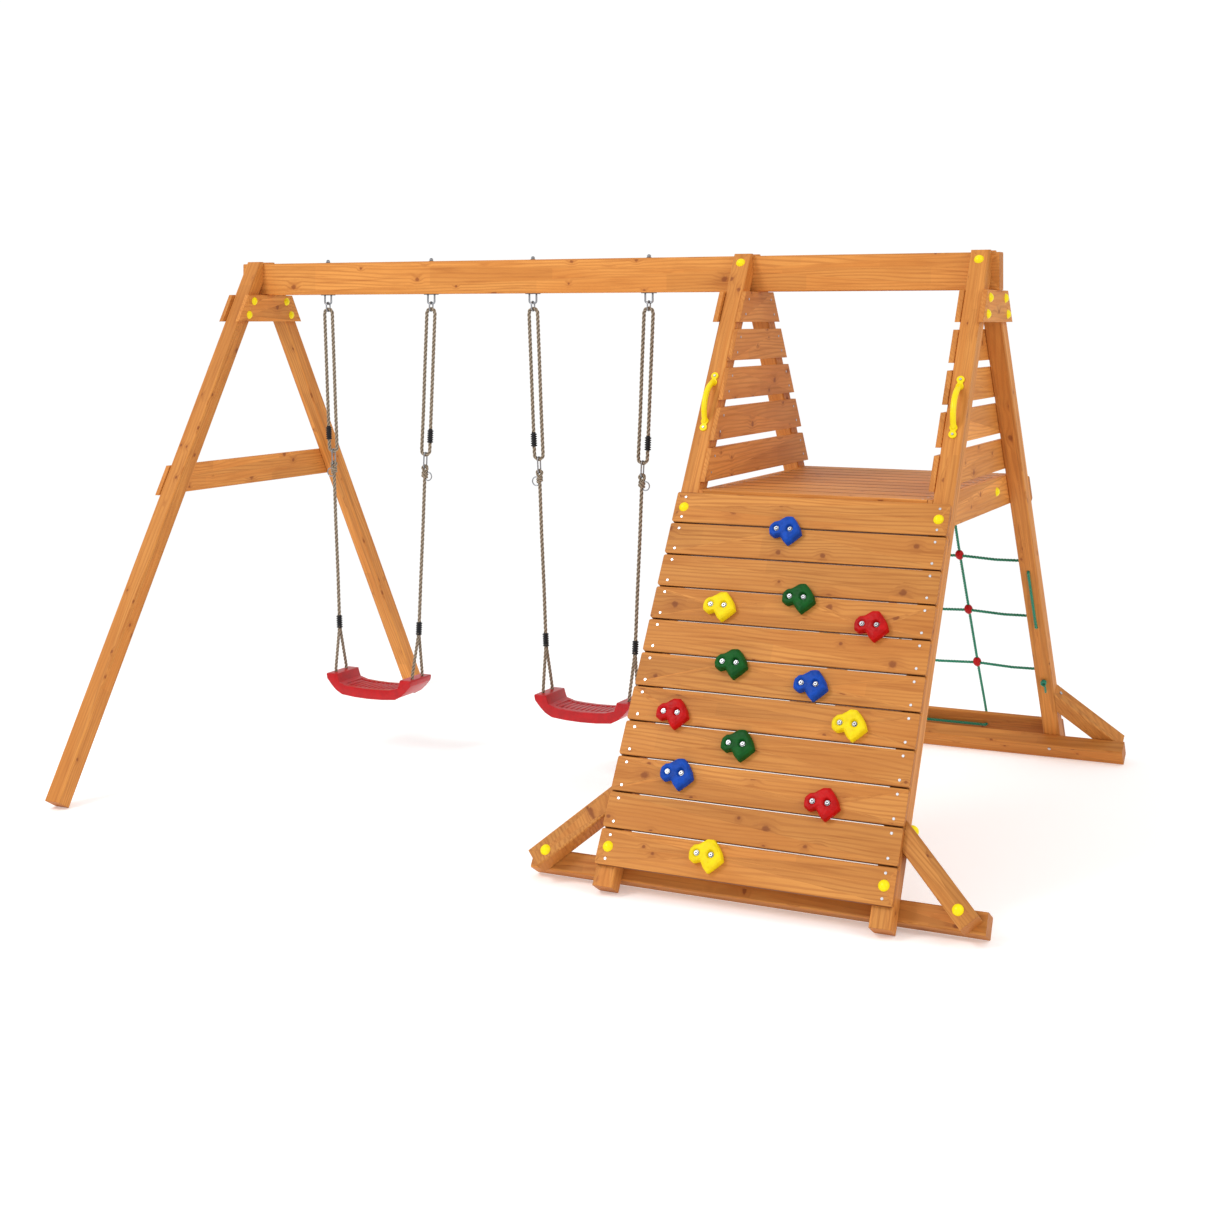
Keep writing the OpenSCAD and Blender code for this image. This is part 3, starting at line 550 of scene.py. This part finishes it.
# ---- climbing holds -------------------------------------------------------------------------

# Places from the wall's top left corner: along the beam and down the slope
HOLDS = {
    "blue": [(435, 133), (625, 680), (222, 1025)],
    "green": [(529, 380), (335, 631), (414, 906)],
    "yellow": [(250, 430), (778, 801), (380, 1274)],
    "red": [(797, 459), (162, 823), (732, 1064)],
}
# A hold's foot, round the middle between its bolts
HOLD_OUTLINE = [(-53, -4), (-50, -20), (-33, -30), (-11, -22), (4, -42), (21, -57), (46, -34),
                (66, -13), (56, 12), (41, 33), (25, 49), (3, 48), (-22, 30), (-38, 27), (-51, 13)]
# The middles of its small and big lobe, and the rings up it: how wide, and how high
HOLD_SPINES = ((-27, -1), (22, -2))
HOLD_RINGS = ((1.0, 0.0), (1.02, 0.40), (0.96, 0.76), (0.78, 0.98), (0.35, 1.04))
# How far a ring's points stray, and each bolt's distance from the middle
HOLD_STRAY = 0.8
HOLD_BOLT = 25.0
# The flat seat under a bolt's washer, the slope round it, and its height
SEAT_R, SEAT_EDGE, HOLD_SEAT = 9.2, 15.0, 20.6


def hold_height(x):
    """The small lobe is lower than the big one."""
    return 26 + 6 * min(1.0, max(0.0, (x + 40) / 55))


def hold_mesh(name, seed):
    """A cast lump with broad facets, a finger dish, fine ridges and a sunk seat for each bolt."""
    rng = random.Random(seed)
    build = bmesh.new()
    rings = []
    for width, rise in HOLD_RINGS:
        ring = []
        for x, y in HOLD_OUTLINE:
            spine = Vector(HOLD_SPINES[0 if x < -14 else 1])
            spot = spine + (Vector((x, y)) - spine) * width
            jitter = rng.uniform(-HOLD_STRAY, HOLD_STRAY) if 0 < rise else 0.0
            height = rise * hold_height(spot.x)
            ring.append(build.verts.new((spot.x + jitter, spot.y + jitter, height)))
        rings.append(ring)
    count = len(HOLD_OUTLINE)
    for low, high in zip(rings, rings[1:]):
        for i in range(count):
            j = (i + 1) % count
            build.faces.new((low[i], low[j], high[j], high[i]))
    rim = [e for e in build.edges if e.is_boundary and e.verts[0] in rings[-1]]
    bmesh.ops.triangle_fill(build, edges=rim, use_beauty=True)
    build.faces.new(list(reversed(rings[0])))
    crease = build.edges.layers.float.new("crease_edge")
    foot = set(rings[0])
    for edge in build.edges:
        edge[crease] = 1.0 if set(edge.verts) <= foot else 0.5
    lump = linked(name, finished(name, build))
    lump.modifiers.new("smooth", "SUBSURF").levels = 3
    mesh = applied(lump)
    for vertex in mesh.vertices:
        x, y, z = vertex.co
        if z < 4:
            continue
        rough = noise.noise(Vector((x, y, z)) * 0.09 + Vector((seed * 7.1, 0, 0)))
        dish = math.exp(-((x - 2) ** 2 + (y + 6) ** 2) / 150.0)
        ridge = 0.45 * math.sin(math.hypot(x - 60, y - 20) * 1.3)
        z += 1.5 * rough - 3.0 * dish + ridge
        for side in (-1, 1):
            away = math.hypot(x - side * HOLD_BOLT, y)
            if away < SEAT_EDGE and z > HOLD_SEAT:
                part = max(0.0, (away - SEAT_R) / (SEAT_EDGE - SEAT_R))
                z = HOLD_SEAT + (z - HOLD_SEAT) * part
        vertex.co.z = z
    return mesh


def finished(name, build):
    """A mesh from a bmesh, which is freed."""
    mesh = bpy.data.meshes.new(name)
    build.to_mesh(mesh)
    build.free()
    return mesh


def applied(thing):
    """The object's mesh with its modifiers applied; the object is removed."""
    graph = bpy.context.evaluated_depsgraph_get()
    mesh = bpy.data.meshes.new_from_object(thing.evaluated_get(graph))
    mesh.name = thing.name
    bpy.data.objects.remove(thing)
    return mesh


def joined(name, meshes):
    """One mesh from several (mesh, matrix) pairs."""
    build = bmesh.new()
    for mesh, matrix in meshes:
        part = mesh.copy()
        part.transform(matrix)
        build.from_mesh(part)
        bpy.data.meshes.remove(part)
    return finished(name, build)


def make_holds():
    """Twelve cast holds on the wall, joined by colour."""
    wall = slope_frame()
    turn = Matrix.Rotation(math.radians(90), 4, "X") @ Matrix.Scale(MM, 4)
    for index, (colour, places) in enumerate(HOLDS.items()):
        parts = []
        for k, (x, down) in enumerate(places):
            spot = Vector((TOWER_LEFT + x, -PLANK_T, -(WALL_T0 + down))) * MM
            parts.append((hold_mesh("hold", 10 * index + k),
                          wall @ Matrix.Translation(spot) @ turn))
        mesh = joined("holds_cast_" + colour, parts)
        add_piece("holds_cast_" + colour, mesh, colour, "frame",
                  ["holds_" + colour])


# ---- ropes ----------------------------------------------------------------------------------

def rope_piece(name, runs, material, body, replaced):
    """One mesh from rope runs, each (points, diameter, length of one full twist) in metres."""
    verts, faces, outward = [], [], []
    for k, (points, diameter, lay) in enumerate(runs):
        laid_rope(verts, faces, outward, points, diameter, lay, 0.7 * k)
    mesh = bpy.data.meshes.new(name)
    mesh.from_pydata(verts, [], faces)
    mesh.attributes.new("outward", "FLOAT", "POINT").data.foreach_set("value", outward)
    add_piece(name, mesh, material, body, replaced)


def placed(matrix, points):
    """Points in millimetres, moved by the matrix and turned into metres."""
    return [tuple(matrix @ (Vector(p) * MM)) for p in points]


def arc(centre, radius, start, stop, count):
    """Points of an arc in X and Z; angles in degrees."""
    out = []
    for k in range(count + 1):
        a = math.radians(start + (stop - start) * k / count)
        out.append((centre[0] + radius * math.cos(a), centre[1], centre[2] + radius * math.sin(a)))
    return out


def wraps(centre, radius, turns, climb, count=12):
    """A tight helix about the vertical."""
    out = []
    for k in range(int(turns * count) + 1):
        a = 2 * math.pi * k / count
        out.append((centre[0] + radius * math.cos(a), centre[1] + radius * math.sin(a),
                    centre[2] - climb * k / (turns * count)))
    return out


# Heights of the hooks' hinge line and of a seat's end blocks, half the distance between a swing's
# hooks, and the places and radius of its seat's holes
PIVOT_Z = 1949.0
SEAT_TOP = 343.0
HOOK_HALF = 265.0
SEAT_HOLE_X, SEAT_HOLE_Y, SEAT_HOLE_R = 195.0, 40.0, 7.75
HANG_TILT = math.atan((HOOK_HALF - SEAT_HOLE_X) / (PIVOT_Z - SEAT_TOP))
HANG_LEN = (PIVOT_Z - SEAT_TOP) / math.cos(HANG_TILT)
SWINGS = {"swing_1": -1125.0, "swing_2": -102.0}
# Down the hanger: the middles of the upper loop's two turns, the eye's, and the fork to the seat
LOOP_TOP, LOOP_LOW, EYE, FORK = -42, -629, -706, -1424
LOOP_R, EYE_R = 20, 11
# Diameter and length of one twist of each part of the swing ropes
SWING_LAID = (0.0158, 0.056)
TAIL_LAID = (0.0145, 0.050)
EYE_LAID = (0.0140, 0.046)
KNOT_LAID = (0.0130, 0.044)
WRAP_LAID = (0.0085, 0.030)


def hanger_frames(x):
    """The right and left hanger: -Z runs down the rope from the hinge line, +X points outward."""
    for side in (1, -1):
        yield (Matrix.Translation((x * MM, 0, PIVOT_Z * MM)) @ Matrix.Diagonal((side, 1, 1, 1))
               @ Matrix.Translation((HOOK_HALF * MM, 0, 0)) @ Matrix.Rotation(HANG_TILT, 4, "Y"))


def hanger_runs(place):
    """The ropes of one hanger: its loop, its lower rope with the eye and knot, and two tails."""
    loop = ([(LOOP_R, 0, -566), (LOOP_R, 0, LOOP_TOP)]
            + arc((0, 0, LOOP_TOP), LOOP_R, 0, 180, 10)
            + [(-LOOP_R, 0, -250), (-19, 0.5, -450), (-LOOP_R, 0, LOOP_LOW)]
            + arc((0, 0, LOOP_LOW), LOOP_R, 180, 360, 10) + [(LOOP_R, 0, -566)])
    eye = [(5, 0, -735)] + arc((0, 0, EYE), EYE_R, -60, 240, 14) + [(-5, 0, -735)]
    knot = wraps((0, 0, -721), 9.2, 2.2, 24)
    main = [(0, 0, -722), (0.8, 0, -950), (-0.6, 0.5, -1180), (0, 0, FORK)]
    runs = [(loop, SWING_LAID), (eye, EYE_LAID), (knot, KNOT_LAID), (main, SWING_LAID)]
    for side in (-1, 1):
        hole = side * SEAT_HOLE_Y
        tail = [(0, 3.0 * side, FORK + 10), (0, 3.8 * side, FORK - 4), (0, hole, 12 - HANG_LEN),
                (0, hole, -20 - HANG_LEN)]
        runs.append((rounded(tail, 14), TAIL_LAID))
        runs.append((wraps((0, hole, -11 - HANG_LEN), 5.2, 1.5, 15), WRAP_LAID))
    return [(placed(place, points), *laid) for points, laid in runs]


def lathe(name, profile, sides=32):
    """A closed ring of revolution about Z from (radius, height) points."""
    verts, faces = [], []
    for r, z in profile:
        for k in range(sides):
            a = 2 * math.pi * k / sides
            verts.append((r * math.cos(a), r * math.sin(a), z))
    rings = len(profile)
    for i in range(rings):
        for k in range(sides):
            a, b = i * sides + k, i * sides + (k + 1) % sides
            c, d = (i + 1) % rings * sides + (k + 1) % sides, (i + 1) % rings * sides + k
            faces.append((a, b, c, d))
    mesh = bpy.data.meshes.new(name)
    mesh.from_pydata(verts, [], faces)
    return mesh


def sleeve_mesh(length):
    """A moulded sleeve with ribs round it: radii inside, between the ribs and on them."""
    inner, low, high, pitch = 6.8, 9.0, 13.2, 9.2
    profile = [(inner, 0.0), (low - 1, 0.0)]
    for k in range(int(length / pitch)):
        z = k * pitch
        profile += [(low, z + 0.8), (high, z + 2.6), (high, z + 6.0), (low, z + 8.0)]
    return lathe("sleeve", profile + [(low - 1, length), (inner, length)])


def make_swings():
    """Each swing's laid ropes, ribbed sleeves and seat."""
    for swing, x in SWINGS.items():
        runs, sleeves = [], []
        for place in hanger_frames(x):
            runs += hanger_runs(place)
            for spot, length in (((LOOP_R, 0, -596), 60), ((0, 0, FORK), 56)):
                where = place @ Matrix.Translation(Vector(spot) * MM) @ Matrix.Scale(MM, 4)
                sleeves.append((sleeve_mesh(length), where))
        rope_piece(swing + "_laid_ropes", runs, "rope", swing, [swing + "_ropes"])
        mesh = joined(swing + "_ribbed_sleeves", sleeves)
        add_piece(swing + "_ribbed_sleeves", mesh, "sleeve", swing,
                  [swing + "_sleeves"])
        make_seat(swing, x)


# ---- swing seat -----------------------------------------------------------------------------

# The right half of the seat's outline in X and Z, and of the hollow under it
SEAT_OUTLINE = [(0, -52), (60, -50.5), (110, -47), (148, -36), (155, -18), (160, 0), (213, 0),
                (215, -6), (211, -24), (188, -50), (165, -71), (134, -87), (70, -93), (0, -95)]
SEAT_HOLLOW = [(0, -60), (112, -55), (150, -44), (166, -9), (207, -9), (206, -22), (162, -66),
               (140, -105), (0, -105)]
# The depths of the seat and its hollow, the panel's half length, depth and sinking, and its ribs
SEAT_DEPTH, HOLLOW_DEPTH = 170, 156
PANEL_REACH, PANEL_DEPTH, PANEL_SUNK = 128, 122, 4.0
RIB_PITCH, RIB_DEPTH = 23.0, 116
RIB_CREST = ((-7, -0.6), (-4, 2.3), (0, 3.2), (4, 2.3), (7, -0.6))


def both_halves(half):
    """A whole outline from its right half, whose ends lie on the middle line."""
    return half + [(-x, z) for x, z in reversed(half[1:-1])]


def between(name, low, high):
    """A closed solid between two matching rings of points."""
    build = bmesh.new()
    low = [build.verts.new(point) for point in low]
    high = [build.verts.new(point) for point in high]
    build.faces.new(list(reversed(low)))
    build.faces.new(high)
    for i in range(len(low)):
        j = (i + 1) % len(low)
        build.faces.new((low[i], low[j], high[j], high[i]))
    bmesh.ops.recalc_face_normals(build, faces=build.faces)
    return linked(name, finished(name, build))


def prism(name, outline, depth):
    """An outline in X and Z, drawn out along Y."""
    front, back = ([(x, side * depth / 2, z) for x, z in outline] for side in (-1, 1))
    return between(name, front, back)


def rod(name, x, y, z0, z1, radius, sides=32):
    """A cylinder along Z."""
    turns = [2 * math.pi * k / sides for k in range(sides)]
    circle = [(x + radius * math.cos(a), y + radius * math.sin(a)) for a in turns]
    return between(name, [(a, b, z0) for a, b in circle], [(a, b, z1) for a, b in circle])


def bevelled(thing, width, segments, angle=25):
    """The object with its edges rounded where they turn by more than the angle."""
    bevel = thing.modifiers.new("bevel", "BEVEL")
    bevel.width = width
    bevel.segments = segments
    bevel.limit_method = "ANGLE"
    bevel.angle_limit = math.radians(angle)
    return thing


def cut(thing, tools):
    """Cuts each tool out of the object and returns the finished mesh."""
    for tool in tools:
        step = thing.modifiers.new("cut", "BOOLEAN")
        step.operation = "DIFFERENCE"
        step.solver = "EXACT"
        step.object = tool
    mesh = applied(thing)
    for tool in tools:
        bpy.data.objects.remove(tool)
    return mesh


def seat_surface(x):
    """Height of the seat's dished top between its end blocks."""
    return float(np.interp(abs(x), *zip(*SEAT_OUTLINE[:4])))


def make_seat(swing, x):
    """A hollow moulded seat: a dished top with a sunk, ribbed panel between two end blocks."""
    shell = bevelled(prism("seat_shell", both_halves(SEAT_OUTLINE), SEAT_DEPTH), 4.5, 4)
    spots = np.linspace(-PANEL_REACH, PANEL_REACH, 17)
    top = [(k, seat_surface(k) + 20) for k in spots]
    floor = [(k, seat_surface(k) - PANEL_SUNK) for k in spots[::-1]]
    panel = bevelled(prism("panel", top + floor, PANEL_DEPTH), 2.5, 2, 50)
    hollow = prism("hollow", both_halves(SEAT_HOLLOW), HOLLOW_DEPTH)
    holes = [rod("hole", sx * SEAT_HOLE_X, sy * SEAT_HOLE_Y, -30, 20, SEAT_HOLE_R)
             for sx in (-1, 1) for sy in (-1, 1)]
    parts = [cut(shell, [panel, hollow] + holes)]
    for k in range(-5, 6):
        mid = k * RIB_PITCH
        z = seat_surface(mid) - PANEL_SUNK
        crest = [(mid + dx, z + dz) for dx, dz in RIB_CREST]
        parts.append(applied(bevelled(prism("rib", crest, RIB_DEPTH), 1.2, 2, 20)))
    where = Matrix.Translation((x * MM, 0, SEAT_TOP * MM)) @ Matrix.Scale(MM, 4)
    mesh = joined(swing + "_moulded_seat", [(part, where) for part in parts])
    add_piece(swing + "_moulded_seat", mesh, "seat", swing, [swing + "_seat"])
    mesh.set_sharp_from_angle(angle=math.radians(32))


# ---- net ------------------------------------------------------------------------------------

# Points are (along the beam, in from the legs' outer faces, down the slope). These are the legs'
# middles, the three levels of the rope across, the two places of the rope up, how deep each
# stretch lies, and the holes in the top and bottom plank
FRAME_B, FRAME_C = 588.0, 1523.0
NET_TS = (1286.0, 1577.0, 1868.0)
NET_XS = (890.0, 1221.0)
OUT_Y, IN_Y = -6.5, 76.5
UP_Y, CROSS_Y = -23.5, -17.5
TOP_HOLE_T, LOW_HOLE_T = 925.0, 2213.0
# Diameter and length of one twist of the net rope, and of its knots and tails
NET_LAID = (0.0125, 0.038)
END_LAID = (0.0095, 0.034)


def net_run(t):
    """One level of the rope across, which sags between the balls."""
    dips = ((640, 5), (740, 7), (872, -3), (908, -3), (1055, 5), (1203, -3), (1239, -3),
            (1372, 7), (1470, 5))
    return [(x, OUT_Y, t + dip) for x, dip in dips]


def up_run(x):
    """One side of the rope up, from the top plank's hole to the bottom plank's."""
    return [(x, 14, TOP_HOLE_T), (x, UP_Y, TOP_HOLE_T), (x, UP_Y, 1060), (x, CROSS_Y, 1240),
            (x, CROSS_Y, 1900), (x, UP_Y, 2090), (x, UP_Y, LOW_HOLE_T), (x, 6.5, LOW_HOLE_T)]


def make_net():
    """The rope across, in through one leg and out at the next level, and the rope up and down."""
    rear = slope_frame(rear=True)
    t1, t2, t3 = NET_TS
    across = ([(FRAME_B, 84, t1), (FRAME_B, OUT_Y, t1)] + net_run(t1)
              + [(FRAME_C, OUT_Y, t1), (FRAME_C, IN_Y, t1), (FRAME_C, IN_Y, t2),
                 (FRAME_C, OUT_Y, t2)]
              + net_run(t2)[::-1]
              + [(FRAME_B, OUT_Y, t2), (FRAME_B, IN_Y, t2), (FRAME_B, IN_Y, t3),
                 (FRAME_B, OUT_Y, t3)]
              + net_run(t3) + [(FRAME_C, OUT_Y, t3), (FRAME_C, 84, t3)])
    up = up_run(NET_XS[0]) + up_run(NET_XS[1])[::-1]
    ends = {"across": [(FRAME_B, 78, t1), (FRAME_C, 78, t3)],
            "up": [(x, 8, TOP_HOLE_T) for x in NET_XS]}
    for way, route in (("across", across), ("up", up)):
        line = rounded([(x, y, -t) for x, y, t in route], 9)
        knots, tails = [], []
        for x, y, t in ends[way]:
            # a wrapped knot about the rope's own line, which runs in through the hole
            spot = Matrix.Translation((x * MM, y * MM, -t * MM))
            turn = rear @ spot @ Matrix.Rotation(math.radians(90), 4, "X")
            knots.append((placed(turn, wraps((0, 0, 1), 8.6, 1.9, 14)), *END_LAID))
            tail = [(x + 4, y + 8, -t - 6), (x + 5, y + 9, -t - 28), (x + 3, y + 5, -t - 52)]
            tails.append((placed(rear, tail), *END_LAID))
        runs = [(placed(rear, line), *NET_LAID)] + knots + tails
        rope_piece("net_laid_rope_" + way, runs, "net", "frame", ["net_rope_" + way])


MATERIALS = make_materials()
make_camera()
make_studio()
make_floor()
dress_cad()
make_holds()
make_swings()
make_net()
